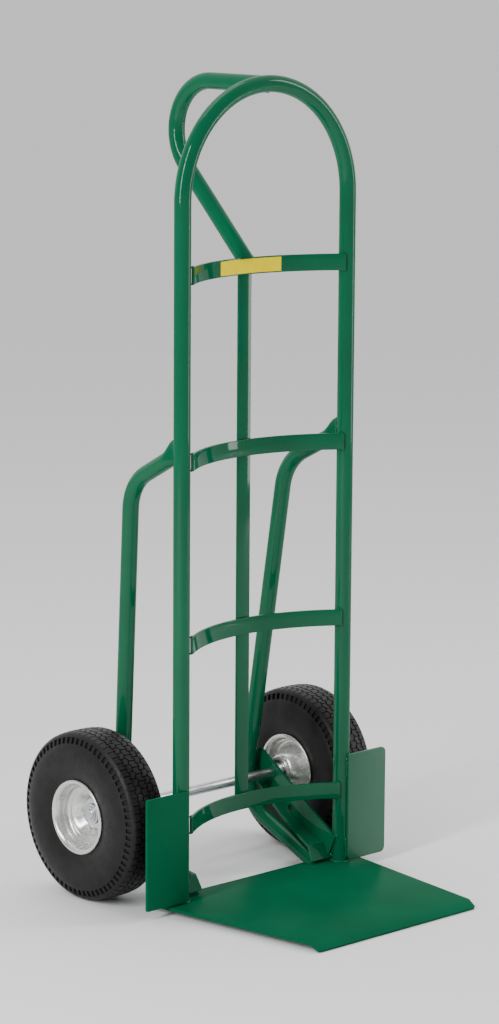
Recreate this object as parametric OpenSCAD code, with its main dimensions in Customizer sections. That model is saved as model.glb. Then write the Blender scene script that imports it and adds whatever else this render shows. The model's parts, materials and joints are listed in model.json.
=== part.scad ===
// Steel hand truck: one-piece loop frame, pistol-grip rear handle, two offset-hub wheels.
// Millimetres, +Z up, nose toward -Y, bottom centre of the bounding box at the origin.

/* [Frame] */
// outside diameter of the frame, brace and handle tubing
tube_d = 25.4; // [19:0.1:32]
// wall thickness of the tubing
tube_wall = 2.1; // [1.2:0.1:3]
// distance from the centre line to each upright's axis
leg_x = 168.2; // [130:0.1:220]
// overall height of the frame loop
frame_h = 1243; // [900:1:1500]
// thickness of every flat bar and plate
plate_t = 4.76; // [3:0.01:8]

/* [Crossbars] */
// height of the flat bar used for crossbars and strap
bar_h = 25.4; // [19:0.1:40]
// number of curved crossbars
bar_count = 4; // [3:1:5]
// height of the lowest crossbar's centre
bar_first_z = 129.9; // [100:0.1:200]
// spacing between crossbar centres
bar_pitch = 275.7; // [200:0.1:320]
// how far behind the uprights the crossbars bow
bar_bow = 41.2; // [20:0.1:60]
// how far each crossbar runs past its seat on the upright
bar_overrun = 5.5; // [2:0.1:12]
// depth that a bar is coped into the part it is welded to
weld_bite = 0.4; // [0.2:0.1:1]

/* [Nose] */
// how far the nose plate's rear corners lie outside the uprights' axes
nose_rear_out = 40.8; // [-2:0.1:92]
// how far the bevel line's ends lie outside the uprights' axes
nose_front_out = -2.2; // [-49:0.1:72]
// distance the nose plate reaches behind the uprights
nose_rear = 29; // [15:1:60]
// distance from the uprights to the bevel line
nose_reach = 281; // [180:1:400]
// height of the nose plate's underside above the ground
nose_clear = 7.9; // [4:0.1:15]
// downward angle of the bevelled front lip
bevel_angle = 28; // [15:1:45]
// radius of the lip's corners
lip_r = 4; // [3:1:20]

/* [Side plates] */
// width of each side plate, outward from its upright's axis
guard_w = 81.6; // [51:0.1:122]
// height of the side plates' lower edge
guard_z0 = 15.6; // [14:0.1:40]
// height of each side plate
guard_h = 170.8; // [120:0.1:240]
// corner radius of the right side plate
guard_r = 9; // [3:1:20]
// corner radius of the left side plate
guard_left_r = 2; // [1:1:20]

/* [Brace tubes] */
// centre-line radius of every tube bend
bend_r = 76.2; // [60:0.1:100]
// height where the brace axis meets the upright's axis
brace_top_z = 699; // [500:1:900]
// how far back the upper brace corner lies
brace_back = 122.5; // [90:0.5:180]
// downward slope of the top run
brace_slope = 27.72; // [15:0.01:45]
// backward rake of the long run
brace_rake = 6.22; // [0:0.01:12]
// height of the lower brace corner
brace_low_z = 83.8; // [60:0.1:140]
// downward slope of the bottom run
brace_foot_slope = 23.94; // [15:0.01:40]
// sideways lean of the brace plane
brace_lean = 2.94; // [0:0.01:6]
// toe-in of the brace plane
brace_toe = 1.78; // [0:0.01:4]
// height of the brace tube's flattened upper end
flat_h = 34.5; // [28:0.5:40]
// thickness of the brace tube's flattened upper end
flat_w = 10; // [6:0.5:20]
// how far the brace's foot lies on the nose plate
foot_lap = 14; // [8:0.5:22]

/* [Rear handle] */
// how far the handle axis sits below the loop's top axis
grip_drop = 1; // [0.5:0.1:3]
// distance from the loop to the handle's bend centre
grip_reach = 125.4; // [90:0.1:180]
// angle of the handle's bend
grip_turn = 135; // [120:1:150]

/* [Axle and brackets] */
// axle diameter
axle_d = 15.88; // [12:0.01:20]
// distance of the axle behind the uprights
axle_y = 140.4; // [120:0.1:200]
// how far the axle's ends lie outside the uprights' axes
axle_out = 61.3; // [31:0.1:92]
// width of the bracket's lower flange
flange_w = 22; // [12:0.5:30]
// how much wider the flange gets toward its front end
flange_flare = 18; // [0:0.5:24]
// diameter of the spare hole in each bracket
spare_hole_d = 12; // [8:0.5:16]

/* [Wheels] */
// tyre radius
wheel_r = 130; // [110:1:160]
// distance from an upright's axis to a tyre's middle plane
wheel_gap = 50.2; // [31:0.1:92]
// half the width of the tyre
tyre_hw = 40; // [30:0.5:55]
// outer radius of the rim flange
flange_r = 57.5; // [50:0.5:70]
// hub length
hub_len = 57; // [45:1:80]
// distance the hub reaches outboard of the tyre's middle plane
hub_out = 4.6; // [0:0.1:20]
// outside diameter of the hub tube
hub_d = 40; // [38:0.5:50]
// thickness of the pressed rim steel
sheet_t = 2; // [1.2:0.1:3]

/* [Bearings and fasteners] */
// bearing outside diameter
bearing_d = 34.93; // [30:0.01:40]
// width of a bearing's outer race
bearing_w = 11; // [8:0.5:14]
// distance the inner race stands out of each side of the outer race
race_stand = 0.5; // [0.4:0.1:1.5]
// ball diameter
ball_d = 5.6; // [4:0.1:7]
// balls in one bearing
ball_count = 9; // [6:1:12]
// radial clearance between a ball and its grooves
ball_clear = 0.05; // [0.02:0.01:0.1]
// gap between a seal and the turning inner race
seal_gap = 0.35; // [0.3:0.05:0.6]
// outside diameter of the outer washer
washer_d = 32; // [26:0.5:36]
// thickness of the outer washer
washer_t = 2.5; // [1.5:0.1:4]
// outside diameter of the inner spacer
spacer_d = 28; // [20:0.5:32]
// outside diameter of the push nut
push_nut_d = 23; // [18:0.5:28]
// thickness of the push nut
push_nut_t = 1.4; // [0.8:0.1:2]

/* [Label] */
// width of the label on the top crossbar
label_w = 125; // [40:1:150]
// height of the label
label_h = 21.5; // [12:0.5:24]
// thickness of the label
label_t = 0.3; // [0.2:0.05:0.6]

/* [Hidden] */
$fn = 96;
eps = 0.01;
lap = 0.5;
swell = 0.2;
far = 3000;
tube_r = tube_d / 2;
bore_d = tube_d - 2 * tube_wall;
arch_z = frame_h - tube_r - leg_x;
wheel_x = leg_x + wheel_gap;
guard_x = leg_x + guard_w;
axle_half = leg_x + axle_out;
nose_rear_hw = leg_x + nose_rear_out;
nose_front_hw = leg_x + nose_front_out;
nose_top = nose_clear + plate_t;
lip_len = nose_clear / sin(bevel_angle);
lip_y = nose_reach - plate_t * tan(bevel_angle / 2) + lip_len * cos(bevel_angle);
lip_tip_y = lip_y + plate_t * sin(bevel_angle);
lip_tip_z = plate_t * cos(bevel_angle);
depth_mid = (axle_y + wheel_r - lip_tip_y) / 2;
axle_z = wheel_r;

bar_back = bar_bow + plate_t;
seat_r = (pow(leg_x, 2) + pow(bar_back, 2) - pow(tube_r, 2)) / (2 * (tube_r + bar_back));
bar_r = seat_r + weld_bite;
bar_cy = bar_back - bar_r;
bar_half_a = atan(leg_x / (seat_r - bar_back)) + asin(bar_overrun / seat_r) - 2;
bar_top_z = bar_first_z + (bar_count - 1) * bar_pitch;
strap_y = bar_back - weld_bite;
strap_z0 = bar_first_z - bar_h / 4;
strap_z1 = bar_top_z + bar_h / 2;

guard_y = -tube_r + weld_bite;
grip_z = arch_z + leg_x - grip_drop;

brace_turn_1 = 90 - brace_slope - brace_rake;
brace_turn_2 = 90 + brace_rake - brace_foot_slope;
corner_1_z = brace_top_z - brace_back * tan(brace_slope);
corner_2_y = brace_back + (corner_1_z - brace_low_z) * tan(brace_rake);
cut_1 = bend_r * tan(brace_turn_1 / 2);
cut_2 = bend_r * tan(brace_turn_2 / 2);
run_1 = brace_back / cos(brace_slope) - cut_1;
run_2 = (corner_1_z - brace_low_z) / cos(brace_rake) - cut_1 - cut_2;
run_3 = brace_low_z / sin(brace_foot_slope) - cut_2 + tube_d;
flat_end = 12;
flat_blend = 40;
foot_y = nose_rear - foot_lap;
foot_wall = 3;
brace_ref_z = 720;

web_x = leg_x - tube_r + weld_bite;
bracket_top = [[-5, 53], [axle_y + 26.6, axle_z + 36.6]];
bracket_low = [[axle_y + 46.6, axle_z + 13], [axle_y + 2.1, axle_z - 22.3], [97.8, 73.2],
    [60.5, 53.9], [20, 41.5], [8, nose_top + plate_t + 1]];
bracket_edge = shifted(bracket_low, plate_t);
flare_y = 85;
flare_end_y = 7;
flange_plan = [[web_x, axle_y + far], [web_x - flange_w, axle_y + far],
    [web_x - flange_w, flare_y], [web_x - flange_w - flange_flare, flare_end_y],
    [web_x - flange_w - flange_flare, -far], [web_x, -far]];
spare_hole = [95.6, 80.4];

hub_x1 = wheel_x + hub_out;
hub_x0 = hub_x1 - hub_len;
race_w = bearing_w + 2 * race_stand;
washer_x = hub_x1 + race_stand;
ball_ring_r = (axle_d + bearing_d) / 4;
inner_race_r = ball_ring_r - 1.5;
outer_race_r = ball_ring_r + 1.5;
barrel_r = 49.5;
skirt_r = barrel_r - sheet_t;
hub_skin_r = hub_d / 2;

green = [0.0, 0.42, 0.3];
zinc = [0.8, 0.82, 0.84];
rim_grey = [0.7, 0.7, 0.68];
rubber = [0.12, 0.12, 0.12];
steel = [0.6, 0.6, 0.62];

// ---- helpers ----

// moves a part from the uprights' plane to the bounding-box origin
module placed() {
    translate([0, -depth_mid, 0])
    children();
}

module left_side() {
    mirror([1, 0, 0])
    children();
}

// a straight tube run along +Z, followed by whatever comes next; it laps into its neighbours
module run(d, len) {
    translate([0, 0, -lap])
    cylinder(h = len + 2 * lap, d = d);
    translate([0, 0, len])
    children();
}

// a bend from +Z toward +Y, a hair thicker than the runs that lap into it
module turn(d, r, angle) {
    translate([0, r, 0])
    rotate([90, 0, -90])
    rotate_extrude(angle = angle)
    translate([r, 0])
    circle(d = d + swell);
    translate([0, r * (1 - cos(angle)), r * sin(angle)])
    rotate([-angle, 0, 0])
    children();
}

// a solid of revolution round the X axis from a section drawn as [radius, x]
module about_x() {
    rotate([0, 90, 0])
    rotate_extrude()
    children();
}

module at_wheel() {
    placed()
    translate([0, axle_y, axle_z])
    children();
}

module ring_x(x0, len, outer_d, inner_d) {
    translate([x0, 0, 0])
    rotate([0, 90, 0])
    difference() {
        cylinder(h = len, d = outer_d);
        translate([0, 0, -eps])
        cylinder(h = len + 2 * eps, d = inner_d);
    }
}

function unit(v) = v / norm(v);
function left_of(v) = [-v[1], v[0]];

// a list of points moved sideways by d, with mitred corners
function shifted(points, d) = [for (i = [0 : len(points) - 1])
    let (
        a = left_of(unit(points[max(i, 1)] - points[max(i, 1) - 1])),
        j = min(i, len(points) - 2),
        b = left_of(unit(points[j + 1] - points[j]))
    )
    points[i] + (a + b) * d / (1 + a * b)];

function reversed(list) = [for (i = [len(list) - 1 : -1 : 0]) list[i]];

// the section of a bent sheet that follows a list of points
module sheet_section(points, t) {
    polygon(concat(shifted(points, t / 2), reversed(shifted(points, -t / 2))));
}

// what has to go from a square corner to leave it round
module corner_waste(r) {
    difference() {
        translate([-1, -1])
        square(r + 1);
        translate([r, r])
        circle(r);
    }
}

// ---- frame ----

module loop_shape(d) {
    for (side = [-1, 1])
        translate([side * leg_x, 0, nose_top])
        cylinder(h = arch_z - nose_top, d = d);
    translate([0, 0, arch_z])
    rotate([90, 0, 0])
    rotate_extrude(angle = 180)
    translate([leg_x, 0])
    circle(d = d);
}

module frame_loop() {
    color(green)
    placed()
    difference() {
        loop_shape(tube_d);
        loop_shape(bore_d);
    }
}

module grip_shape(d) {
    translate([0, 0, grip_z])
    rotate([-90, 0, 0])
    run(d, grip_reach)
    turn(d, bend_r, grip_turn)
    run(d, far / 10);
}

module rear_handle() {
    color(green)
    placed()
    difference() {
        grip_shape(tube_d);
        grip_shape(bore_d);
        loop_shape(tube_d);
        translate([-leg_x, strap_y + plate_t - far, bar_first_z])
        cube([2 * leg_x, far, bar_top_z + bar_h / 2 - bar_first_z]);
    }
}

module bar_sweep(r0, r1, half_angle, z0, h) {
    translate([0, bar_cy, z0])
    rotate([0, 0, 90 - half_angle])
    rotate_extrude(angle = 2 * half_angle)
    translate([r0, 0])
    square([r1 - r0, h]);
}

module crossbar(index) {
    color(green)
    placed()
    difference() {
        bar_sweep(bar_r - plate_t, bar_r, bar_half_a,
            bar_first_z + (index - 1) * bar_pitch - bar_h / 2, bar_h);
        loop_shape(tube_d);
    }
}

module center_strap() {
    color(green)
    placed()
    difference() {
        translate([-bar_h / 2, strap_y, strap_z0])
        cube([bar_h, plate_t, strap_z1 - strap_z0]);
        translate([0, bar_cy, bar_first_z - bar_h])
        cylinder(h = bar_top_z - bar_first_z + bar_h * 1.5, r = bar_r, $fn = 180);
    }
}

module nose_plate() {
    color(green)
    placed()
    intersection() {
        rotate([90, 0, 90])
        translate([0, 0, -nose_rear_hw])
        linear_extrude(2 * nose_rear_hw)
        polygon([[nose_rear, nose_clear], [nose_rear, nose_top], [-nose_reach, nose_top],
            [-lip_tip_y, lip_tip_z], [-lip_y, 0],
            [plate_t * tan(bevel_angle / 2) - nose_reach, nose_clear]]);
        difference() {
            linear_extrude(nose_top + plate_t)
            nose_outline();
            for (side = [-1, 1])
                translate([side * nose_tip_hw(), -lip_tip_y, -eps])
                mirror([side > 0 ? 1 : 0, 0, 0])
                linear_extrude(nose_top + plate_t)
                corner_waste(lip_r);
        }
    }
}

function nose_taper() = (nose_rear_hw - nose_front_hw) / (nose_reach + nose_rear);
function nose_tip_hw() = nose_front_hw - nose_taper() * (lip_tip_y - nose_reach);

module nose_outline() {
    polygon([[-nose_rear_hw, nose_rear], [nose_rear_hw, nose_rear],
        [nose_tip_hw(), -lip_tip_y], [-nose_tip_hw(), -lip_tip_y]]);
}

module side_plate(corner_r) {
    color(green)
    placed()
    difference() {
        translate([leg_x, guard_y, guard_z0])
        rotate([90, 0, 0])
        linear_extrude(plate_t)
        difference() {
            square([guard_x - leg_x, guard_h]);
            corner_waste(corner_r);
            translate([guard_x - leg_x, 0])
            rotate(90)
            corner_waste(corner_r);
            translate([guard_x - leg_x, guard_h])
            rotate(180)
            corner_waste(corner_r);
        }
        loop_shape(tube_d);
    }
}

module brace_plane() {
    translate([leg_x, 0, brace_ref_z])
    rotate([0, brace_lean, brace_toe])
    translate([0, 0, -brace_ref_z])
    children();
}

module brace_shape(d) {
    brace_plane()
    translate([0, 0, brace_top_z])
    rotate([-90 - brace_slope, 0, 0])
    run(d, run_1)
    turn(d, bend_r, brace_turn_1)
    run(d, run_2)
    turn(d, bend_r, brace_turn_2)
    run(d, run_3);
}

// the frame of a brace tube's pressed end: +Z runs down the tube
module brace_end() {
    brace_plane()
    translate([0, 0, brace_top_z])
    rotate([-90 - brace_slope, 0, 0])
    children();
}

// the pressed end: a flat paddle running out of a wedge cut from the round tube
module pressed_end() {
    brace_end() {
        rotate([0, -90, 0])
        linear_extrude(flat_w, center = true)
        polygon([[flat_end - tube_r, tube_r - flat_h], [flat_end - tube_r, tube_r - 0.5],
            [flat_blend + 1, tube_r - 1.5], [flat_blend + 1, 1.5 - tube_r],
            [flat_end + tube_r / 2, tube_r - flat_h + 1]]);
        intersection() {
            cylinder(h = flat_blend + 2, d = tube_d - 0.2);
            rotate([90, 0, 0])
            linear_extrude(2 * tube_d, center = true)
            polygon([[-flat_w / 2, -1], [flat_w / 2, -1], [flat_w / 2, flat_end],
                [tube_r - 0.6, flat_blend], [tube_r - 0.6, flat_blend + 3],
                [0.6 - tube_r, flat_blend + 3], [0.6 - tube_r, flat_blend], [-flat_w / 2, flat_end]]);
        }
    }
}

// everything in front of where the brace's foot ends
module before_foot() {
    translate([0, foot_y - far, -far])
    cube([far, far, far + brace_low_z]);
}

module brace_tube() {
    color(green)
    placed()
    difference() {
        union() {
            difference() {
                brace_shape(tube_d);
                difference() {
                    brace_shape(bore_d);
                    translate([0, foot_wall, 0])
                    before_foot();
                }
                brace_end()
                translate([0, 0, flat_blend - far])
                cylinder(h = far, r = tube_d);
            }
            pressed_end();
        }
        loop_shape(tube_d);
        before_foot();
        translate([0, nose_rear - far, nose_top - far])
        cube([far, far, far]);
        translate([0, 0, nose_clear - far])
        cube([far, far, far]);
    }
}

// ---- brackets and axle ----

module axle_bracket() {
    color(green)
    placed()
    difference() {
        union() {
            translate([web_x - plate_t, 0, 0])
            rotate([90, 0, 90])
            linear_extrude(plate_t)
            polygon(concat(bracket_top, bracket_edge));
            intersection() {
                rotate([90, 0, 90])
                linear_extrude(leg_x + tube_d)
                polygon(concat(bracket_low, reversed(bracket_edge)));
                linear_extrude(axle_z + wheel_r)
                polygon(flange_plan);
            }
        }
        loop_shape(tube_d);
        difference() {
            brace_shape(tube_d);
            before_foot();
        }
        translate([0, axle_y, axle_z])
        rotate([0, 90, 0])
        cylinder(h = far, d = axle_d);
        translate([web_x - 2 * plate_t, spare_hole[0], spare_hole[1]])
        rotate([0, 90, 0])
        cylinder(h = 3 * plate_t, d = spare_hole_d);
    }
}

module axle() {
    color(zinc)
    at_wheel()
    for (side = [0, 1])
        mirror([side, 0, 0])
        rotate([0, 90, 0]) {
            cylinder(h = axle_half - 1, d = axle_d);
            translate([0, 0, axle_half - 1])
            cylinder(h = 1, d1 = axle_d, d2 = axle_d - 2);
        }
}

// ---- wheel hardware ----

module spacer() {
    color(zinc)
    at_wheel()
    ring_x(web_x, hub_x0 - race_stand - web_x, spacer_d, axle_d);
}

module washer() {
    color(zinc)
    at_wheel()
    ring_x(washer_x, washer_t, washer_d, axle_d);
}

module push_nut() {
    color(zinc)
    at_wheel()
    ring_x(washer_x + washer_t, push_nut_t, push_nut_d, axle_d);
}

module ball_groove() {
    rotate_extrude()
    translate([ball_ring_r, 0])
    circle(d = ball_d + 2 * ball_clear, $fn = 48);
}

// centre plane of each of the wheel's two bearings
module at_bearings() {
    for (x = [hub_x0 + bearing_w / 2, hub_x1 - bearing_w / 2])
        at_wheel()
        translate([x, 0, 0])
        rotate([0, 90, 0])
        children();
}

module inner_races() {
    color(steel)
    at_bearings()
    difference() {
        translate([0, 0, -race_w / 2])
        cylinder(h = race_w, r = inner_race_r);
        translate([0, 0, -race_w])
        cylinder(h = 2 * race_w, d = axle_d);
        ball_groove();
    }
}

module outer_races() {
    color(steel)
    at_bearings()
    difference() {
        translate([0, 0, -bearing_w / 2])
        cylinder(h = bearing_w, d = bearing_d);
        translate([0, 0, -bearing_w])
        cylinder(h = 2 * bearing_w, r = outer_race_r);
        ball_groove();
    }
}

module bearing_balls() {
    color(steel)
    at_bearings()
    for (i = [0 : ball_count - 1])
        rotate([0, 0, i * 360 / ball_count])
        translate([ball_ring_r, 0, 0])
        sphere(d = ball_d, $fn = 48);
}

module bearing_seals() {
    seal_t = 0.8;
    color(rubber)
    at_bearings()
    for (z = [-bearing_w / 2, bearing_w / 2 - seal_t])
        translate([0, 0, z])
        difference() {
            cylinder(h = seal_t, r = outer_race_r);
            translate([0, 0, -eps])
            cylinder(h = seal_t + 2 * eps, r = inner_race_r + seal_gap);
        }
}

module hub() {
    color(zinc)
    at_wheel()
    translate([hub_x0, 0, 0])
    rotate([0, 90, 0])
    difference() {
        cylinder(h = hub_len, d = hub_d);
        translate([0, 0, -eps])
        cylinder(h = hub_len + 2 * eps, d = bearing_d - 4);
        for (z = [-eps, hub_len - bearing_w])
            translate([0, 0, z])
            cylinder(h = bearing_w + eps, d = bearing_d);
    }
}

module rim_barrel() {
    color(rim_grey)
    at_wheel()
    translate([wheel_x, 0, 0])
    about_x()
    sheet_section([[flange_r - 1, -36], [52.5, -36], [barrel_r - 1, -31], [barrel_r - 1, 31],
        [52.5, 36], [flange_r - 1, 36]], sheet_t);
}

module outer_disc() {
    color(rim_grey)
    at_wheel()
    translate([wheel_x, 0, 0])
    about_x()
    sheet_section([[skirt_r - 1, 22], [skirt_r - 1, 15], [42, 12], [36, 11.5], [25.5, 1],
        [hub_skin_r + 1, -1.5], [hub_skin_r + 1, hub_out - 2]], sheet_t);
}

module inner_disc() {
    color(rim_grey)
    at_wheel()
    translate([wheel_x, 0, 0])
    about_x()
    sheet_section([[skirt_r - 1, -24], [skirt_r - 1, -17], [43, -14.5], [39, -15],
        [26.5, -41], [hub_skin_r + 1, -46], [hub_skin_r + 1, -50]], sheet_t);
}

// half of the tyre's outline as [share of the tyre's height, share of its half width]
tyre_side = [[0, 0.73], [0.035, 0.84], [0.11, 0.86], [0.26, 0.95], [0.4, 0.995], [0.55, 1],
    [0.68, 0.965], [0.78, 0.9], [0.88, 0.825], [0.95, 0.76], [0.978, 0.68], [0.992, 0.54], [1, 0.3]];

module tyre_section() {
    height = wheel_r - barrel_r;
    side = [for (p = tyre_side) [barrel_r + p[0] * height, p[1] * tyre_hw]];
    last = len(side) - 1;
    polygon(concat(side, [for (i = [last : -1 : 0]) [side[i][0], -side[i][1]]]));
}

module tyre() {
    color(rubber)
    at_wheel()
    translate([wheel_x, 0, 0])
    about_x()
    tyre_section();
}

// ---- label ----

module crossbar_label() {
    half_a = label_w / 2 / (bar_r - plate_t) * 180 / PI;
    color([0.85, 0.7, 0.1])
    placed()
    bar_sweep(bar_r - plate_t - label_t, bar_r - plate_t, half_a, bar_top_z - label_h / 2, label_h);
}

// ---- output ----

frame_loop();
rear_handle();
crossbar(1);  // crossbar_1
crossbar(2);  // crossbar_2
crossbar(3);  // crossbar_3
crossbar(4);  // crossbar_4
center_strap();
nose_plate();
left_side() side_plate(guard_left_r);  // left_side_plate
side_plate(guard_r);  // right_side_plate
left_side() brace_tube();  // left_brace_tube
brace_tube();  // right_brace_tube
left_side() axle_bracket();  // left_axle_bracket
axle_bracket();  // right_axle_bracket
axle();
crossbar_label();
left_side() spacer();  // left_spacer
spacer();  // right_spacer
left_side() washer();  // left_washer
washer();  // right_washer
left_side() push_nut();  // left_push_nut
push_nut();  // right_push_nut
left_side() inner_races();  // left_inner_races
inner_races();  // right_inner_races
left_side() tyre();  // left_tyre
tyre();  // right_tyre
left_side() rim_barrel();  // left_rim_barrel
rim_barrel();  // right_rim_barrel
left_side() outer_disc();  // left_outer_disc
outer_disc();  // right_outer_disc
left_side() inner_disc();  // left_inner_disc
inner_disc();  // right_inner_disc
left_side() hub();  // left_hub
hub();  // right_hub
left_side() outer_races();  // left_outer_races
outer_races();  // right_outer_races
left_side() bearing_balls();  // left_bearing_balls
bearing_balls();  // right_bearing_balls
left_side() bearing_seals();  // left_bearing_seals
bearing_seals();  // right_bearing_seals
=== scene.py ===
import json
import math
import random
import bmesh
import bpy
from mathutils import Euler, Matrix, Vector


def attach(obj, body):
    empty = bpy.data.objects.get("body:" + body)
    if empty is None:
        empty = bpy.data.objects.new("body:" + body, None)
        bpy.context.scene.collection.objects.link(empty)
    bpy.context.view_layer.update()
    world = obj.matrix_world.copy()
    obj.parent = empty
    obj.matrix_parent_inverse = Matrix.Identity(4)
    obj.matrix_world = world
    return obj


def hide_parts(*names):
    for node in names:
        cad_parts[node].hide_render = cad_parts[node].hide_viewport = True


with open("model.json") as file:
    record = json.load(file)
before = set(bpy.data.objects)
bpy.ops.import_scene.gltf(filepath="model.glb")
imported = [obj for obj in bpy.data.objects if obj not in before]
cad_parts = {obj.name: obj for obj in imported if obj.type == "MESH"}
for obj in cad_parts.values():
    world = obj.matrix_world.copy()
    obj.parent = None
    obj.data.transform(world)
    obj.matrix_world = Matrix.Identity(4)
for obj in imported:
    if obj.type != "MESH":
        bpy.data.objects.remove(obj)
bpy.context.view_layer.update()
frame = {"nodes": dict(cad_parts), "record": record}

rng = random.Random(7)
PI2 = 2 * math.pi

# ---------------------------------------------------------------- sizes, mm, design frame
TUBE_R = 12.7
LEG_X = 168.2
FRAME_H = 1243
PLATE = 4.76
BAR_H, BAR_COUNT, BAR_Z, BAR_PITCH = 25.4, 4, 129.9, 275.7
BAR_BOW, BAR_OVERRUN, BITE = 41.2, 5.5, 0.4
NOSE_REAR_HW, NOSE_FRONT_HW, NOSE_REAR, NOSE_REACH = 209, 166, 29, 281
NOSE_CLEAR, BEVEL, LIP_R = 7.9, math.radians(28), 4
GUARD_X, GUARD_Z0, GUARD_H = 249.8, 15.6, 170.8
GUARD_CORNER = {"left": 2, "right": 9}
BEND_R = 76.2
BRACE_TOP, BRACE_BACK, BRACE_LOW, BRACE_REF = 699, 122.5, 83.8, 720
SLOPE, RAKE, FOOT = math.radians(27.72), math.radians(6.22), math.radians(23.94)
LEAN, TOE = math.radians(2.94), math.radians(1.78)
FLAT_UP, FLAT_HALF_W, FLAT_END, FLAT_BLEND, FOOT_LAP = 21.8, 5, 12, 40, 14
GRIP_DROP, GRIP_REACH, GRIP_TURN, GRIP_TAIL = 1, 125.4, math.radians(135), 300
AXLE_Y, WHEEL_R, WHEEL_X, AXLE_R = 140.4, 130, 218.4, 7.94
BARREL_R = 49.5

NOSE_TOP = NOSE_CLEAR + PLATE
ARCH_Z = FRAME_H - TUBE_R - LEG_X
LIP_LEN = NOSE_CLEAR / math.sin(BEVEL)
LIP_Y = NOSE_REACH - PLATE * math.tan(BEVEL / 2) + LIP_LEN * math.cos(BEVEL)
TIP_Y, TIP_Z = LIP_Y + PLATE * math.sin(BEVEL), PLATE * math.cos(BEVEL)
SHIFT_Y = (TIP_Y - AXLE_Y - WHEEL_R) / 2
BAR_BACK = BAR_BOW + PLATE
SEAT_R = (LEG_X ** 2 + BAR_BACK ** 2 - TUBE_R ** 2) / (2 * (TUBE_R + BAR_BACK))
BAR_R = SEAT_R + BITE
BAR_CY = BAR_BACK - BAR_R
BAR_HALF = math.atan(LEG_X / (SEAT_R - BAR_BACK)) + math.asin(BAR_OVERRUN / SEAT_R) - math.radians(2)
BAR_TOP_Z = BAR_Z + (BAR_COUNT - 1) * BAR_PITCH
STRAP_Y = BAR_BACK - BITE
GUARD_Y = BITE - TUBE_R
GRIP_Z = ARCH_Z + LEG_X - GRIP_DROP
WEB_X = LEG_X - TUBE_R + BITE


# ---------------------------------------------------------------- materials
class Shader:
    """A small wrapper for wiring one material."""

    def __init__(self, name):
        self.mat = bpy.data.materials.new(name)
        self.mat.use_nodes = True
        self.tree = self.mat.node_tree
        self.bsdf = self.tree.nodes["Principled BSDF"]
        self.coord = self.tree.nodes.new("ShaderNodeTexCoord").outputs["Object"]

    def put(self, socket, value):
        if isinstance(value, bpy.types.NodeSocket):
            self.tree.links.new(value, socket)
        else:
            socket.default_value = value

    def set(self, **values):
        for key, value in values.items():
            self.put(self.bsdf.inputs[key.replace("_", " ")], value)

    def noise(self, scale, detail=3.0, rough=0.5):
        node = self.tree.nodes.new("ShaderNodeTexNoise")
        node.inputs["Scale"].default_value = scale
        node.inputs["Detail"].default_value = detail
        node.inputs["Roughness"].default_value = rough
        self.put(node.inputs["Vector"], self.coord)
        return node.outputs["Fac"]

    def ramp(self, fac, *stops):
        node = self.tree.nodes.new("ShaderNodeValToRGB")
        marks = node.color_ramp.elements
        while len(marks) < len(stops):
            marks.new(0.5)
        for mark, (at, color) in zip(marks, stops):
            mark.position = at
            mark.color = (*color, 1) if isinstance(color, tuple) else (color, color, color, 1)
        self.put(node.inputs["Fac"], fac)
        return node.outputs["Color"]

    def mix(self, fac, a, b):
        node = self.tree.nodes.new("ShaderNodeMix")
        node.data_type = "RGBA"
        self.put(node.inputs["Factor"], fac)
        self.put(node.inputs["A"], a)
        self.put(node.inputs["B"], b)
        return node.outputs["Result"]

    def edges(self, low, high):
        """1 on convex edges, 0 elsewhere."""
        geo = self.tree.nodes.new("ShaderNodeNewGeometry")
        return self.ramp(geo.outputs["Pointiness"], (low, 0.0), (high, 1.0))

    def times(self, a, b):
        node = self.tree.nodes.new("ShaderNodeMath")
        node.operation = "MULTIPLY"
        self.put(node.inputs[0], a)
        self.put(node.inputs[1], b)
        return node.outputs[0]

    def bump(self, height, strength, distance):
        node = self.tree.nodes.new("ShaderNodeBump")
        node.inputs["Strength"].default_value = strength
        node.inputs["Distance"].default_value = distance
        self.put(node.inputs["Height"], height)
        self.set(Normal=node.outputs["Normal"])


def green_paint(name, weld=False, coat=0.45, coat_rough=0.06):
    s = Shader(name)
    cloud = s.noise(9, 4)
    paint = s.ramp(cloud, (0.3, (0.0, 0.088, 0.038)), (0.7, (0.0, 0.108, 0.047)))
    chips = s.times(s.ramp(s.noise(420, 5, 0.7), (0.63, 0.0), (0.66, 1.0)), s.edges(0.56, 0.62))
    s.set(Base_Color=s.mix(chips, paint, (0.03, 0.06, 0.045, 1)))
    s.set(Roughness=s.ramp(s.noise(60, 5), (0.3, 0.17), (0.75, 0.27)))
    s.set(Coat_Weight=coat, Coat_Roughness=coat_rough, Specular_IOR_Level=0.0)
    s.bump(s.noise(260 if weld else 520, 2), 0.5 if weld else 0.14, 0.0006)
    return s.mat


def zinc_plate():
    s = Shader("zinc_plate")
    tone = s.ramp(s.noise(60, 5, 0.6), (0.3, (0.5, 0.51, 0.53)), (0.7, (0.6, 0.61, 0.63)))
    s.set(Base_Color=tone, Metallic=1.0)
    s.set(Roughness=s.ramp(s.noise(90, 4), (0.3, 0.26), (0.75, 0.36)))
    s.bump(s.noise(70, 3), 0.2, 0.0002)
    return s.mat


def rim_coat():
    s = Shader("rim_coat")
    tone = s.ramp(s.noise(30, 5), (0.3, (0.64, 0.64, 0.62)), (0.7, (0.71, 0.71, 0.69)))
    dust = s.ramp(s.noise(700, 6, 0.7), (0.66, 0.0), (0.74, 0.35))
    s.set(Base_Color=s.mix(dust, tone, (0.5, 0.5, 0.48, 1)), Metallic=0.85)
    s.set(Roughness=s.ramp(s.noise(90, 4), (0.3, 0.24), (0.75, 0.34)))
    s.bump(s.noise(80, 4), 0.12, 0.0003)
    return s.mat


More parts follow.
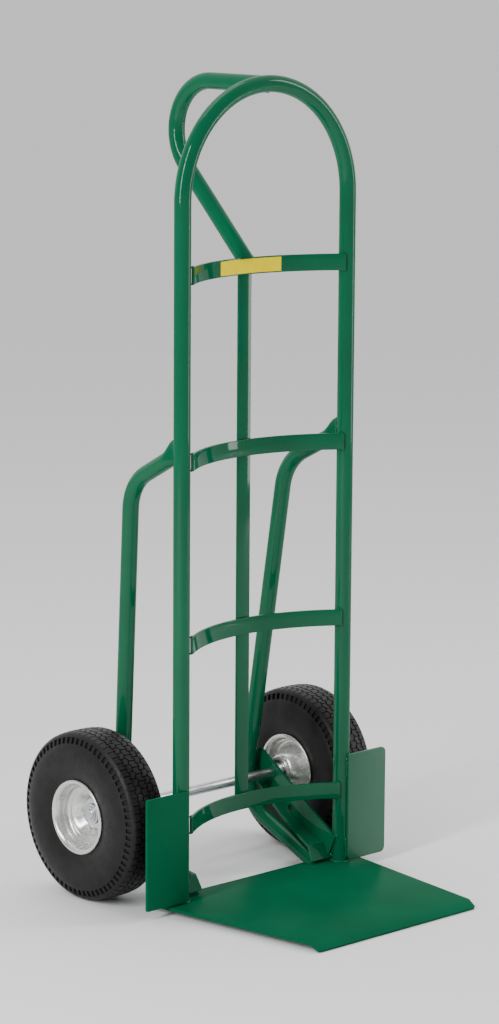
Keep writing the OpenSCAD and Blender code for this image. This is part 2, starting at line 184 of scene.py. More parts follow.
def tyre_rubber():
    s = Shader("tyre_rubber")
    tone = s.ramp(s.noise(55, 6, 0.6), (0.3, (0.0065, 0.006, 0.006)), (0.75, (0.014, 0.013, 0.0128)))
    scuff = s.times(s.ramp(s.noise(240, 6, 0.75), (0.5, 0.0), (0.7, 0.8)), s.edges(0.52, 0.6))
    s.set(Base_Color=s.mix(scuff, tone, (0.035, 0.033, 0.032, 1)))
    s.set(Roughness=s.ramp(s.noise(180, 4), (0.3, 0.4), (0.75, 0.56)), Specular_IOR_Level=0.22)
    s.bump(s.noise(1400, 3, 0.6), 0.2, 0.0003)
    return s.mat


def bearing_steel():
    s = Shader("bearing_steel")
    tone = s.ramp(s.noise(200, 4), (0.3, (0.48, 0.48, 0.5)), (0.7, (0.62, 0.62, 0.64)))
    s.set(Base_Color=tone, Metallic=1.0)
    s.set(Roughness=s.ramp(s.noise(260, 3), (0.3, 0.18), (0.7, 0.3)))
    s.bump(s.noise(2200, 2), 0.06, 0.0002)
    return s.mat


def seal_rubber():
    s = Shader("seal_rubber")
    s.set(Base_Color=s.ramp(s.noise(300, 4), (0.3, (0.012, 0.012, 0.012)), (0.7, (0.03, 0.03, 0.03))))
    s.set(Roughness=s.ramp(s.noise(420, 3), (0.3, 0.45), (0.7, 0.6)))
    s.bump(s.noise(1800, 2), 0.1, 0.0002)
    return s.mat


def label_film():
    s = Shader("label_film")
    tone = s.ramp(s.noise(70, 4), (0.3, (0.97, 0.74, 0.0)), (0.7, (1.0, 0.8, 0.0)))
    s.set(Base_Color=tone)
    s.set(Roughness=s.ramp(s.noise(150, 4), (0.3, 0.28), (0.7, 0.4)), Specular_IOR_Level=0.0)
    s.bump(s.noise(380, 2), 0.08, 0.0003)
    return s.mat


GREEN = green_paint("green_paint")
WELD = green_paint("green_weld", weld=True)
FLAT = green_paint("green_flat", coat=0.1, coat_rough=0.3)
SHEEN = green_paint("green_sheen", coat=1.0, coat_rough=0.42)
GUARD_PAINT = {"left": FLAT, "right": SHEEN}
ZINC, RIM, RUBBER = zinc_plate(), rim_coat(), tyre_rubber()
STEEL, SEAL, LABEL = bearing_steel(), seal_rubber(), label_film()
BY_SLOT = {"green_paint": GREEN, "zinc_plate": ZINC, "rim_coat": RIM, "tyre_rubber": RUBBER,
           "label_film": LABEL}
SLOT_OF = {part["node"]: part["material_slot"] for part in frame["record"]["subparts"]}


def finish_of(node):
    if "seal" in node:
        return SEAL
    if "race" in node or "balls" in node:
        return STEEL
    if node.endswith("_hub"):
        return RIM
    return BY_SLOT.get(SLOT_OF[node], STEEL)


for cad_name, cad in frame["nodes"].items():
    cad.data.materials.clear()
    cad.data.materials.append(finish_of(cad_name))


# ---------------------------------------------------------------- mesh helpers
def to_row(p):
    return (p[0] / 1000, (p[1] + SHIFT_Y) / 1000, p[2] / 1000)


def piece(name, verts, faces, mat, body="frame", nodes=(), crease=35):
    """One closed mesh from points in the design frame."""
    mesh = bpy.data.meshes.new(name)
    mesh.from_pydata([to_row(v) for v in verts], [], faces)
    bm = bmesh.new()
    bm.from_mesh(mesh)
    bmesh.ops.recalc_face_normals(bm, faces=bm.faces)
    bm.to_mesh(mesh)
    bm.free()
    mesh.polygons.foreach_set("use_smooth", [True] * len(mesh.polygons))
    mesh.set_sharp_from_angle(angle=math.radians(crease))
    mesh.materials.append(mat)
    obj = bpy.data.objects.new(name, mesh)
    bpy.context.scene.collection.objects.link(obj)
    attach(obj, body)
    if nodes:
        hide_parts(*nodes)
    return obj


def sweep(path, ring, closed=False):
    """Verts and faces of a section carried along a path; ring(i, s) lists (side, up) offsets."""
    count = len(path)
    tangents = []
    for i in range(count):
        a = path[(i - 1) % count] if closed or i else path[0]
        b = path[(i + 1) % count] if closed or i < count - 1 else path[-1]
        tangents.append((b - a).normalized())
    seed = Vector((1, 0, 0)) if abs(tangents[0].x) < 0.9 else Vector((0, 0, 1))
    side = (seed - tangents[0] * seed.dot(tangents[0])).normalized()
    verts, faces, s = [], [], 0.0
    size = 0
    for i in range(count):
        if i:
            s += (path[i] - path[i - 1]).length
            side = (side - tangents[i] * side.dot(tangents[i])).normalized()
        up = tangents[i].cross(side)
        section = ring(i, s)
        size = len(section)
        verts += [path[i] + side * a + up * b for a, b in section]
    for i in range(count if closed else count - 1):
        j = (i + 1) % count
        for k in range(size):
            m = (k + 1) % size
            faces.append((i * size + k, i * size + m, j * size + m, j * size + k))
    if not closed:
        faces.append(tuple(range(size - 1, -1, -1)))
        faces.append(tuple((count - 1) * size + k for k in range(size)))
    return verts, faces


def circle_ring(r, n=48):
    return [(r * math.cos(PI2 * k / n), r * math.sin(PI2 * k / n)) for k in range(n)]


def turtle(start, heading, moves):
    """Points of a flat path as (y, z); a positive turn bends toward the ground."""
    y, z = start
    points = [(y, z)]
    for kind, *args in moves:
        if kind == "run":
            steps = max(2, int(args[0] / 12))
            for i in range(1, steps + 1):
                points.append((y + math.cos(heading) * args[0] * i / steps,
                               z + math.sin(heading) * args[0] * i / steps))
        else:
            r, angle = args
            cy = y + math.sin(heading) * r
            cz = z - math.cos(heading) * r
            steps = max(6, int(abs(angle) / math.radians(4)))
            base = math.atan2(z - cz, y - cy)
            for i in range(1, steps + 1):
                a = base - angle * i / steps
                points.append((cy + r * math.cos(a), cz + r * math.sin(a)))
            heading -= angle
        y, z = points[-1]
    return points


def bead(name, points, r=1.9, closed=False, body="frame"):
    """A rippled weld bead along a line of points."""
    path = [Vector(p) for p in points]
    fine = []
    spans = len(path) if closed else len(path) - 1
    for i in range(spans):
        a, b = path[i], path[(i + 1) % len(path)]
        steps = max(1, int((b - a).length / 0.6))
        fine += [a.lerp(b, k / steps) for k in range(steps)]
    if not closed:
        fine.append(path[-1])
    total = sum((fine[i + 1] - fine[i]).length for i in range(len(fine) - 1))
    drift = rng.random() * PI2

    def ring(i, s):
        ripple = 1 + 0.13 * math.sin(PI2 * s / 2.4 + drift) + 0.07 * math.sin(s * 0.9 + drift)
        fade = 1 if closed else min(1, (s + 0.6) / 2.2, (total - s + 0.6) / 2.2)
        return circle_ring(r * ripple * max(fade, 0.2), 12)

    verts, faces = sweep(fine, ring, closed)
    return piece(name, verts, faces, WELD, body, crease=80)


def rounded_slab(name, corners, depth_axis, lo, hi, edge, mat, nodes, round_corner=0.0):
    """A flat plate: an outline in two axes, extruded along the third, with softened edges."""
    other = [a for a in range(3) if a != depth_axis]

    def lift(p, d):
        v = [0, 0, 0]
        v[other[0]], v[other[1]], v[depth_axis] = p[0], p[1], d
        return v

    outline = corners
    if round_corner:
        outline = []
        n = len(corners)
        for i, c in enumerate(corners):
            if not c[2]:
                outline.append(c[:2])
                continue
            here = Vector(c[:2])
            before = (Vector(corners[i - 1][:2]) - here).normalized()
            after = (Vector(corners[(i + 1) % n][:2]) - here).normalized()
            middle = here + (before + after) * round_corner
            for k in range(9):
                a = k / 8 * math.pi / 2
                outline.append(tuple(middle - after * round_corner * math.cos(a)
                                     - before * round_corner * math.sin(a)))
    bm = bmesh.new()
    low = [bm.verts.new(lift(p, lo)) for p in outline]
    high = [bm.verts.new(lift(p, hi)) for p in outline]
    bm.faces.new(low)
    bm.faces.new(list(reversed(high)))
    n = len(outline)
    for i in range(n):
        bm.faces.new((low[i], high[i], high[(i + 1) % n], low[(i + 1) % n]))
    bmesh.ops.recalc_face_normals(bm, faces=bm.faces)
    rims = [e for e in bm.edges if e.calc_face_angle(0) > math.radians(40)]
    bmesh.ops.bevel(bm, geom=rims, offset=edge, segments=3, profile=0.5, affect="EDGES")
    return piece_from(bm, name, mat, nodes)


def piece_from(bm, name, mat, nodes):
    bm.verts.index_update()
    verts = [v.co.copy() for v in bm.verts]
    faces = [tuple(v.index for v in f.verts) for f in bm.faces]
    bm.free()
    return piece(name, verts, faces, mat, nodes=nodes)


# ---------------------------------------------------------------- frame
def build_loop():
    path = [Vector((-LEG_X, 0, NOSE_TOP + (ARCH_Z - NOSE_TOP) * i / 40)) for i in range(40)]
    path += [Vector((-LEG_X * math.cos(math.pi * i / 72), 0, ARCH_Z + LEG_X * math.sin(math.pi * i / 72)))
             for i in range(73)]
    path += [Vector((LEG_X, 0, ARCH_Z - (ARCH_Z - NOSE_TOP) * i / 40)) for i in range(1, 41)]
    verts, faces = sweep(path, lambda i, s: circle_ring(TUBE_R, 56))
    piece("loop_tube", verts, faces, GREEN, nodes=["frame_loop"])


def grip_path():
    return turtle((0, GRIP_Z), 0.0, [("run", GRIP_REACH), ("turn", BEND_R, GRIP_TURN), ("run", GRIP_TAIL)])


def build_handle():
    path = [Vector((0, y, z)) for y, z in grip_path()]
    verts, faces = sweep(path, lambda i, s: circle_ring(TUBE_R, 56))
    tube = piece("handle_tube", verts, faces, GREEN, nodes=["rear_handle"])
    carve(tube, (-LEG_X, -LEG_X, BAR_Z), (LEG_X, STRAP_Y + PLATE, BAR_TOP_Z + BAR_H / 2))


def carve(obj, low, high):
    """Takes the box between two corners away from a piece."""
    ends = (to_row(low), to_row(high))
    verts = [(ends[i][0], ends[j][1], ends[k][2]) for i in (0, 1) for j in (0, 1) for k in (0, 1)]
    faces = [(0, 1, 3, 2), (4, 6, 7, 5), (0, 4, 5, 1), (2, 3, 7, 6), (0, 2, 6, 4), (1, 5, 7, 3)]
    mesh = bpy.data.meshes.new("carve_box")
    mesh.from_pydata(verts, [], faces)
    box = bpy.data.objects.new("carve_box", mesh)
    bpy.context.scene.collection.objects.link(box)
    step = obj.modifiers.new("carve", "BOOLEAN")
    step.operation, step.solver, step.object = "DIFFERENCE", "EXACT", box
    bpy.context.view_layer.update()
    graph = bpy.context.evaluated_depsgraph_get()
    done = bpy.data.meshes.new_from_object(obj.evaluated_get(graph))
    obj.modifiers.remove(step)
    old, obj.data = obj.data, done
    done.name = obj.name
    bpy.data.meshes.remove(old)
    bpy.data.objects.remove(box)
    bpy.data.meshes.remove(mesh)


def cut(bm, at, normal):
    """Cuts away what lies on the normal's side of a plane and closes the opening."""
    geom = bm.verts[:] + bm.edges[:] + bm.faces[:]
    made = bmesh.ops.bisect_plane(bm, geom=geom, dist=1e-5, plane_co=at, plane_no=normal,
                                  clear_outer=True)
    edges = [e for e in made["geom_cut"] if isinstance(e, bmesh.types.BMEdge)]
    if edges:
        bmesh.ops.holes_fill(bm, edges=edges, sides=0)


def build_bars():
    mid = BAR_R - PLATE / 2
    inset = 0.9

    def section(trim):
        w, h, r = PLATE / 2 - trim, BAR_H / 2 - trim, inset
        points = []
        for cx, cy, a0 in ((w - r, h - r, 0), (r - w, h - r, 90), (r - w, r - h, 180), (w - r, r - h, 270)):
            for k in range(5):
                a = math.radians(a0 + 22.5 * k)
                points.append((cx + r * math.cos(a), cy + r * math.sin(a)))
        return points

    for index in range(BAR_COUNT):
        z = BAR_Z + index * BAR_PITCH
        steps = 72
        stations = [(-BAR_HALF, 0.75), (-BAR_HALF + 0.75 / mid, 0)]
        stations += [(-BAR_HALF + 2 * BAR_HALF * k / steps, 0) for k in range(1, steps)]
        stations += [(BAR_HALF - 0.75 / mid, 0), (BAR_HALF, 0.75)]
        verts, faces = [], []
        for a, trim in stations:
            out = Vector((math.sin(a), math.cos(a), 0))
            base = Vector((0, BAR_CY, z)) + out * mid
            verts += [base + out * p + Vector((0, 0, q)) for p, q in section(trim)]
        n = len(section(0))
        for i in range(len(stations) - 1):
            for k in range(n):
                m = (k + 1) % n
                faces.append((i * n + k, i * n + m, (i + 1) * n + m, (i + 1) * n + k))
        faces.append(tuple(range(n - 1, -1, -1)))
        faces.append(tuple((len(stations) - 1) * n + k for k in range(n)))
        piece(f"bar_{index + 1}", verts, faces, GREEN, nodes=[f"crossbar_{index + 1}"])


def build_strap():
    half = BAR_H / 2
    corners = [(-half, BAR_Z - BAR_H / 4), (half, BAR_Z - BAR_H / 4),
               (half, BAR_TOP_Z + half), (-half, BAR_TOP_Z + half)]
    rounded_slab("strap", corners, 1, STRAP_Y, STRAP_Y + PLATE, 0.8, GREEN,
                 ["center_strap"])


def build_guards():
    for side, word in ((-1, "left"), (1, "right")):
        xs = (side * LEG_X, side * GUARD_X)
        corners = [(xs[0], GUARD_Z0, 1), (xs[1], GUARD_Z0, 1), (xs[1], GUARD_Z0 + GUARD_H, 1),
                   (xs[0], GUARD_Z0 + GUARD_H, 0)]
        if side < 0:
            corners.reverse()
        rounded_slab(f"{word}_guard", corners, 1, GUARD_Y - PLATE, GUARD_Y, 0.7, GUARD_PAINT[word],
                     [f"{word}_side_plate"], round_corner=GUARD_CORNER[word])


def build_nose():
    taper = (NOSE_REAR_HW - NOSE_FRONT_HW) / (NOSE_REACH + NOSE_REAR)
    profile = [(NOSE_REAR, NOSE_CLEAR), (NOSE_REAR, NOSE_TOP), (-NOSE_REACH, NOSE_TOP),
               (-TIP_Y, TIP_Z), (-LIP_Y, 0), (PLATE * math.tan(BEVEL / 2) - NOSE_REACH, NOSE_CLEAR)]
    bm = bmesh.new()
    rows = []
    for side in (-1, 1):
        rows.append([bm.verts.new((side * (NOSE_REAR_HW - taper * (NOSE_REAR - y)), y, z))
                     for y, z in profile])
    n = len(profile)
    bm.faces.new(rows[0])
    bm.faces.new(list(reversed(rows[1])))
    for i in range(n):
        bm.faces.new((rows[0][i], rows[1][i], rows[1][(i + 1) % n], rows[0][(i + 1) % n]))
    bmesh.ops.recalc_face_normals(bm, faces=bm.faces)
    tips = [e for e in bm.edges if all(v.co.y < -LIP_Y + 1 for v in e.verts)
            and abs(e.verts[0].co.x - e.verts[1].co.x) < 2]
    bmesh.ops.bevel(bm, geom=tips, offset=LIP_R, segments=5, profile=0.5, affect="EDGES")
    rims = [e for e in bm.edges if e.calc_face_angle(0) > math.radians(40)]
    bmesh.ops.bevel(bm, geom=rims, offset=0.6, segments=3, profile=0.5, affect="EDGES")
    piece_from(bm, "nose", FLAT, ["nose_plate"])


def brace_matrix(side):
    move = Matrix.Translation((LEG_X, 0, BRACE_REF))
    turn = Euler((0, LEAN, TOE), "XYZ").to_matrix().to_4x4()
    back = Matrix.Translation((0, 0, -BRACE_REF))
    return Matrix.Diagonal((side, 1, 1, 1)) @ move @ turn @ back


def brace_flat():
    turn_1, turn_2 = math.pi / 2 - SLOPE - RAKE, math.pi / 2 + RAKE - FOOT
    corner_1_z = BRACE_TOP - BRACE_BACK * math.tan(SLOPE)
    corner_2_y = BRACE_BACK + (corner_1_z - BRACE_LOW) * math.tan(RAKE)
    cut_1, cut_2 = BEND_R * math.tan(turn_1 / 2), BEND_R * math.tan(turn_2 / 2)
    return corner_2_y, [
        ("run", BRACE_BACK / math.cos(SLOPE) - cut_1), ("turn", BEND_R, turn_1),
        ("run", (corner_1_z - BRACE_LOW) / math.cos(RAKE) - cut_1 - cut_2), ("turn", BEND_R, turn_2),
        ("run", BRACE_LOW / math.sin(FOOT) - cut_2 + TUBE_R * 2)]


def build_braces():
    _, moves = brace_flat()
    flat = turtle((0, BRACE_TOP), -SLOPE, moves)

    def ring(i, s):
        t = min(1, max(0, (s - FLAT_END) / (FLAT_BLEND - FLAT_END)))
        t = t * t * (3 - 2 * t)
        half = FLAT_HALF_W + (TUBE_R - FLAT_HALF_W) * t
        rise = FLAT_UP + (TUBE_R - FLAT_UP) * t
        power = 0.55 + 0.45 * t
        section = []
        for k in range(56):
            a = PI2 * k / 56
            c, d = math.cos(a), math.sin(a)
            side = half * math.copysign(abs(c) ** power, c)
            tall = (rise if d < 0 else TUBE_R) * math.copysign(abs(d) ** power, d)
            section.append((side, tall))
        return section

    for side, word in ((-1, "left"), (1, "right")):
        path = [Vector((0, y, z)) for y, z in flat]
        dense = []
        for a, b in zip(path[:8], path[1:9]):
            dense += [a.lerp(b, k / 4) for k in range(4)]
        path = dense + path[8:]
        verts, faces = sweep(path, ring)
        turned = brace_matrix(side)
        bm = bmesh.new()
        grid = [bm.verts.new(turned @ v) for v in verts]
        for f in faces:
            bm.faces.new([grid[k] for k in f])
        bmesh.ops.recalc_face_normals(bm, faces=bm.faces)
        cut(bm, (0, 0, NOSE_CLEAR + 0.2), (0, 0, -1))
        lap = NOSE_REAR - FOOT_LAP
        low = [f for f in bm.faces if f.calc_center_median().z < BRACE_LOW]
        geom = list({v for f in low for v in f.verts}) + list({e for f in low for e in f.edges}) + low
        made = bmesh.ops.bisect_plane(bm, geom=geom, dist=1e-5, plane_co=(0, lap, 0),
                                      plane_no=(0, -1, 0), clear_outer=True)
        edges = [e for e in made["geom_cut"] if isinstance(e, bmesh.types.BMEdge)]
        bmesh.ops.holes_fill(bm, edges=edges, sides=0)
        piece_from(bm, f"{word}_brace", GREEN, [f"{word}_brace_tube"])


# ---------------------------------------------------------------- welds
def build_welds():
    corner_2_y, _ = brace_flat()
    for side, word in ((-1, "left"), (1, "right")):
        around = [(side * LEG_X + 13.2 * math.cos(PI2 * k / 40), 13.2 * math.sin(PI2 * k / 40),
                   NOSE_TOP + 0.4) for k in range(40)]
        bead(f"{word}_weld_leg_nose", around, 2.1, closed=True)
        x = side * (LEG_X - 0.4)
        for tag, z0, z1 in (("low", GUARD_Z0 + 3, GUARD_Z0 + 36), ("high", 148, GUARD_Z0 + GUARD_H - 3)):
            bead(f"{word}_weld_guard_{tag}", [(x, GUARD_Y - 1.0, z0), (x, GUARD_Y - 1.0, z1)], 1.8)
            back = side * (LEG_X + 6.4)
            bead(f"{word}_weld_guard_back_{tag}", [(back, GUARD_Y + 0.6, z0), (back, GUARD_Y + 0.6, z1)], 1.8)
        for index in range(BAR_COUNT):
            z = BAR_Z + index * BAR_PITCH
            for tag, dz in (("top", BAR_H / 2 - 0.3), ("low", 0.3 - BAR_H / 2)):
                line = []
                for k in range(5):
                    b = BAR_HALF - 0.045 + 0.04 * k / 4
                    line.append((side * math.sin(b) * (BAR_R - 0.6), BAR_CY + math.cos(b) * (BAR_R - 0.6),
                                 z + dz))
                bead(f"{word}_weld_bar_{index + 1}_{tag}", line, 1.7)
        turned = brace_matrix(side)
        loop = [(-1, -10.8), (-1, 19.5), (0, 23.5), (1, 19.5), (1, -10.8), (0, -14)]
        seat = BRACE_TOP - (TUBE_R - 1) * math.tan(SLOPE)
        bead(f"{word}_weld_brace_top",
             [turned @ Vector((6.0 * u, 11.7 if u else 12.9, seat + w)) for u, w in loop], 1.8, closed=True)
        # foot of the brace on the nose plate
        lap = NOSE_REAR - FOOT_LAP
        edge = []
        for y in (NOSE_REAR + 0.6, NOSE_REAR - 5, lap + 4, lap):
            z_axis = BRACE_LOW - (corner_2_y - y) * math.tan(FOOT)
            gap = (NOSE_TOP - z_axis) * math.cos(FOOT)
            edge.append((math.sqrt(max(TUBE_R ** 2 - gap ** 2, 1)), y))
        axis_x = abs((turned @ Vector((0, 22, NOSE_TOP))).x)
        line = [(side * (axis_x - w - 0.3), y, NOSE_TOP + 0.3) for w, y in edge]
        line += [(side * (axis_x + w + 0.3), y, NOSE_TOP + 0.3) for w, y in reversed(edge)]
        bead(f"{word}_weld_foot", line, 1.2)
        web = side * (WEB_X - 0.6)
        bead(f"{word}_weld_bracket_front", [(web, 7.0, 21), (web, -4.4, 51.5)], 1.3)
        ring = [(side * (WEB_X - PLATE - 0.3), AXLE_Y + (AXLE_R + 0.9) * math.cos(PI2 * k / 32),
                 WHEEL_R + (AXLE_R + 0.9) * math.sin(PI2 * k / 32)) for k in range(32)]
        bead(f"{word}_weld_axle", ring, 1.6, closed=True)
    # handle to the top crossbar and strap, and handle to the loop
    grip = grip_path()
    seat_z = BAR_TOP_Z + BAR_H / 2
    for tag, x in (("left", -TUBE_R), ("right", TUBE_R)):
        line = [(x, BAR_BACK - PLATE + 0.4, seat_z + 0.2), (x, STRAP_Y + PLATE, seat_z + 0.2)]
        bead(f"weld_grip_{tag}", line, 1.8)
    y_hit = STRAP_Y + PLATE
    z_hit = min(((abs(y - y_hit), z) for y, z in grip if z < BAR_TOP_Z + 90), default=(0, seat_z))[1]
    tall = TUBE_R / math.cos(math.radians(45))
    drop = [(TUBE_R * math.cos(a) * 1.02, y_hit + 0.5, z_hit + tall * math.sin(a) * 1.02)
            for a in (math.radians(180 + 180 * k / 24) for k in range(25))]
    drop = [(x, y, min(z, seat_z)) for x, y, z in drop]
    bead("weld_grip_strap", drop, 1.8)
    ring = [((TUBE_R + 0.2) * math.cos(PI2 * k / 40),
             math.sqrt(max(TUBE_R ** 2 - (TUBE_R * math.sin(PI2 * k / 40)) ** 2 * 0.98, 0)) + 0.3,
             GRIP_Z + (TUBE_R + 0.3) * math.sin(PI2 * k / 40)) for k in range(-5, 26)]
    ring = [(x, y, min(z, FRAME_H - 2.0)) for x, y, z in ring]
    bead("weld_grip_loop", ring, 1.1)


# ---------------------------------------------------------------- wheels
TYRE_SIDE = [(0, 0.73), (0.035, 0.84), (0.11, 0.86), (0.26, 0.95), (0.4, 0.995), (0.55, 1), (0.68, 0.965),
             (0.78, 0.9), (0.88, 0.825), (0.95, 0.76), (0.978, 0.68), (0.992, 0.54), (1, 0.3)]
TYRE_HALF, TYRE_R = 39.85, 129.95
LUGS = 69


def lathe(name, rows, columns, side, mat, body, nodes, crease=35):
    """A ring made of closed sections. rows(a) lists (radius, x) at an angle."""
    verts, faces, size = [], [], 0
    for a in columns:
        section = rows(a)
        size = len(section)
        verts += [(side * (WHEEL_X + x), AXLE_Y + r * math.cos(a), WHEEL_R + r * math.sin(a))
                  for r, x in section]
    n = len(columns)
    for i in range(n):
        j = (i + 1) % n
        for k in range(size):
            m = (k + 1) % size
            faces.append((i * size + k, i * size + m, j * size + m, j * size + k))
    return piece(name, verts, faces, mat, body, nodes, crease)


def smooth_curve(points, steps):
    """Catmull-Rom through points."""
    out = []
    for i in range(len(points) - 1):
        p = [Vector(points[min(max(i + d, 0), len(points) - 1)]) for d in (-1, 0, 1, 2)]
        for k in range(steps):
            t = k / steps
            out.append(tuple(0.5 * (2 * p[1] + (p[2] - p[0]) * t
                                    + (2 * p[0] - 5 * p[1] + 4 * p[2] - p[3]) * t * t
                                    + (3 * p[1] - p[0] - 3 * p[2] + p[3]) * t ** 3)))
    out.append(tuple(points[-1]))
    return out


def tyre_outline():
    """(radius, x) of the plain carcass for x >= 0, bead to crown."""
    return [(BARREL_R + share * (TYRE_R - BARREL_R), width * TYRE_HALF) for share, width in TYRE_SIDE]


def crown_radius(x):
    side = tyre_outline()
    x = abs(x)
    if x <= side[-1][1]:
        return TYRE_R
    for (r0, x0), (r1, x1) in zip(side[::-1], side[-2::-1]):
        if x0 <= x <= x1:
            return r0 + (r1 - r0) * (x - x0) / (x1 - x0)
    return side[5][0]


# lateral stations of the tread: (x, 1 on a block or 0 in a groove, phase of its cross grooves)
TREAD = [(0.0, 1, 0), (5.1, 1, 0), (5.6, 0, 0), (7.0, 0, 1), (7.5, 1, 1), (15.6, 1, 1), (16.1, 0, 1),
         (17.5, 0, 0), (18.0, 1, 0), (26.0, 1, 0), (28.8, 1, 0)]
CELL = [0.0, 0.03, 0.1, 0.13, 0.32, 0.5, 0.53, 0.6, 0.63, 0.82]
GROOVE = 2.6
TREAD_HALF, CROSS_END, CENTRE_RIB, SWAY_FADE = 28.8, 26.5, 3, 9


def in_cross_groove(u, phase):
    start = 0.5 if phase else 0.0
    return start + 0.02 < u < start + 0.11


def half_crown(u, sway):
    """(radius, x) across half the tread; sway makes its ribs zigzag."""
    crown = []
    for x, raised, phase in TREAD:
        fade = min(1, max(0, (TREAD_HALF - x) / SWAY_FADE))
        at = x + (sway if x > CENTRE_RIB else 0) * fade
        r = crown_radius(at)
        if not raised or in_cross_groove(u, phase) and x <= CROSS_END:
            r -= GROOVE
        crown.append((r, at))
    return crown


def build_tyre(side, word):
    outline = tyre_outline()
    wall = smooth_curve(outline[:9], 4)
    teeth = [(113.0, 35.3, 0), (113.6, 35.0, 1), (116.0, 34.2, 1), (119.0, 33.3, 1), (121.6, 32.5, 1),
             (122.2, 32.3, 0), (124.4, 31.2, 0)]
    wall = [p for p in wall if p[0] < 112]

    def rows(a):
        u = (a / PI2 * LUGS) % 1.0
        sway = 1.9 * (1 - 4 * abs(((u + 0.065) % 1.0) - 0.5))
        rim = list(wall)
        between_teeth = 0.02 < u < 0.55
        for r, x, tooth in teeth:
            deep = GROOVE if between_teeth and tooth else 0
            rim.append((r - deep * 0.3, x - deep))
        plus = rim + half_crown(u, sway)[::-1]
        mirrored = [(r, -x) for r, x in half_crown(u, -sway)[1:]]
        return plus + mirrored + [(r, -x) for r, x in rim[::-1]]

    columns = [PI2 * (lug + c) / LUGS for lug in range(LUGS) for c in CELL]
    lathe(f"{word}_tyre_tread", rows, columns, side, RUBBER, f"{word}_wheel", [f"{word}_tyre"],
          crease=38)


def sheet(points, t):
    """The closed outline of a sheet of thickness t following (radius, x) points."""
    line = smooth_curve(points, 5)
    one, two = [], []
    for i, p in enumerate(line):
        a = Vector(line[max(i - 1, 0)])
        b = Vector(line[min(i + 1, len(line) - 1)])
        d = (b - a).normalized()
        n = Vector((-d.y, d.x)) * t / 2
        one.append((p[0] + n.x, p[1] + n.y))
        two.append((p[0] - n.x, p[1] - n.y))
    return one + two[::-1]


def round_columns(n):
    return [PI2 * k / n for k in range(n)]


def lobe(a, count, sharp=3.0):
    """0 to 1, count smooth bumps round a turn."""
    return (0.5 + 0.5 * math.cos(a * count)) ** sharp


def build_rims(side, word):
    body = f"{word}_wheel"
    t = 2.0
    barrel = sheet([(56.4, -34.9), (55.6, -36.2), (53.6, -36.2), (51.4, -34.6), (49.4, -31.6),
                    (48.5, -27.0), (48.5, -10), (48.5, 10), (48.5, 27.0), (49.4, 31.6),
                    (51.4, 34.6), (53.6, 36.2), (55.6, 36.2), (56.4, 34.9)], t)
    lathe(f"{word}_rim", lambda a: barrel, round_columns(144), side, RIM, body, [f"{word}_rim_barrel"])

    def outer(a):
        push = 2.3 * lobe(a, 5)
        return sheet([(46.5, 22), (46.5, 17), (45.6, 14.4), (42, 12.2), (37.5, 11.4),
                      (34.6, 9.6 + 0.2 * push),
                      (31.4, 6.6 + push), (28.2, 3.4 + push), (25.6, 1.0 + 0.3 * push), (23.4, -1.0),
                      (21.4, -0.8), (21.0, 2.6)], t)

    lathe(f"{word}_outer_face", outer, round_columns(180), side, RIM, body, [f"{word}_outer_disc"],
          crease=60)

    def inner(a):
        push = 2.2 * lobe(a + 0.3, 5)
        return sheet([(46.5, -24), (46.5, -19), (45.6, -16.4), (43, -14.9), (39.6, -15.4),
                      (36.4, -20.6 - 0.3 * push), (33.0, -27.2 - push), (29.6, -34.2 - push),
                      (26.8, -40.2 - 0.3 * push), (24.0, -44.6), (21.4, -46.4), (21.0, -49.6)], t)

    lathe(f"{word}_inner_face", inner, round_columns(180), side, RIM, body, [f"{word}_inner_disc"],
          crease=60)


# ---------------------------------------------------------------- build
build_loop()
build_handle()
build_bars()
build_strap()
build_guards()
build_nose()
build_braces()
build_welds()
for wheel_side, wheel_word in ((-1, "left"), (1, "right")):
    build_tyre(wheel_side, wheel_word)
    build_rims(wheel_side, wheel_word)


# ---------------------------------------------------------------- camera, light, floor
CAM_AZ, CAM_EL, CAM_ROLL = math.radians(-43.08), math.radians(10.19), math.radians(0.377)
CAM_AT = Vector((-3.45785, -3.65079, 1.49359))
CAM_LENS = 119.3


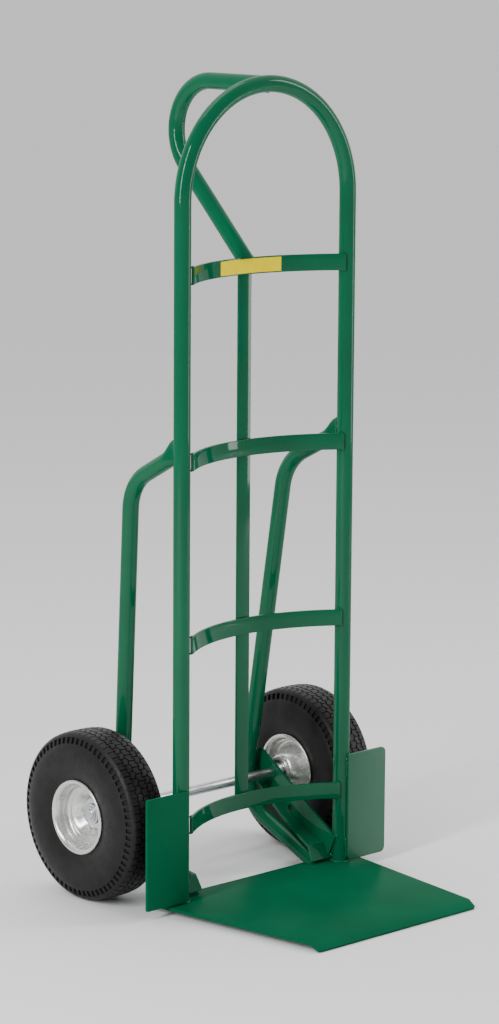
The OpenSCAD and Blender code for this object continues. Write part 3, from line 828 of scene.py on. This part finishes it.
def make_camera():
    back = Vector((math.sin(CAM_AZ) * math.cos(CAM_EL), -math.cos(CAM_AZ) * math.cos(CAM_EL),
                   math.sin(CAM_EL)))
    right = Vector((math.cos(CAM_AZ), math.sin(CAM_AZ), 0))
    up = back.cross(right)
    r2 = math.cos(CAM_ROLL) * right + math.sin(CAM_ROLL) * up
    u2 = -math.sin(CAM_ROLL) * right + math.cos(CAM_ROLL) * up
    data = bpy.data.cameras.new("camera")
    data.lens = CAM_LENS
    data.sensor_width = 36
    cam = bpy.data.objects.new("camera", data)
    cam.matrix_world = Matrix((
        (r2.x, u2.x, back.x, CAM_AT.x),
        (r2.y, u2.y, back.y, CAM_AT.y),
        (r2.z, u2.z, back.z, CAM_AT.z),
        (0, 0, 0, 1)))
    bpy.context.scene.collection.objects.link(cam)
    bpy.context.scene.camera = cam


def area_light(name, at, to, width, height, energy):
    data = bpy.data.lights.new(name, "AREA")
    data.shape = "RECTANGLE"
    data.size, data.size_y, data.energy = width, height, energy
    light = bpy.data.objects.new(name, data)
    light.location = at
    light.rotation_euler = (Vector(to) - Vector(at)).to_track_quat("-Z", "Y").to_euler()
    bpy.context.scene.collection.objects.link(light)


make_camera()
area_light("key", (-3.4, -0.6, 2.2), (0, 0, 0.6), 0.5, 3.0, 130)
area_light("fill", (2.4, -1.6, 1.5), (0, 0, 0.6), 0.5, 2.8, 40)
area_light("top", (0, 1.2, 3.9), (0, 0, 0.5), 2.4, 1.6, 28)

ground_mesh = bpy.data.meshes.new("ground")
ground_mesh.from_pydata([(-200, -200, 0), (200, -200, 0), (200, 200, 0), (-200, 200, 0)], [], [(0, 1, 2, 3)])
ground = bpy.data.objects.new("ground", ground_mesh)
pale = Shader("pale_floor")
pale.set(Base_Color=(0.9, 0.9, 0.9, 1), Roughness=0.9)
ground_mesh.materials.append(pale.mat)
bpy.context.scene.collection.objects.link(ground)
world = bpy.data.worlds.new("world")
world.use_nodes = True
tree = world.node_tree
sky = tree.nodes["Background"]
sky.inputs["Color"].default_value = (1, 1, 1, 1)
facing = tree.nodes.new("ShaderNodeVectorMath")
facing.operation = "DOT_PRODUCT"
facing.inputs[1].default_value = (0.68, 0.73, 0.0)
spread = tree.nodes.new("ShaderNodeMapRange")
for socket, value in (("From Min", -0.25), ("From Max", 0.65), ("To Min", 0.4), ("To Max", 1.5)):
    spread.inputs[socket].default_value = value
tree.links.new(tree.nodes.new("ShaderNodeTexCoord").outputs["Generated"], facing.inputs[0])
tree.links.new(facing.outputs["Value"], spread.inputs["Value"])
tree.links.new(spread.outputs["Result"], sky.inputs["Strength"])
bpy.context.scene.world = world
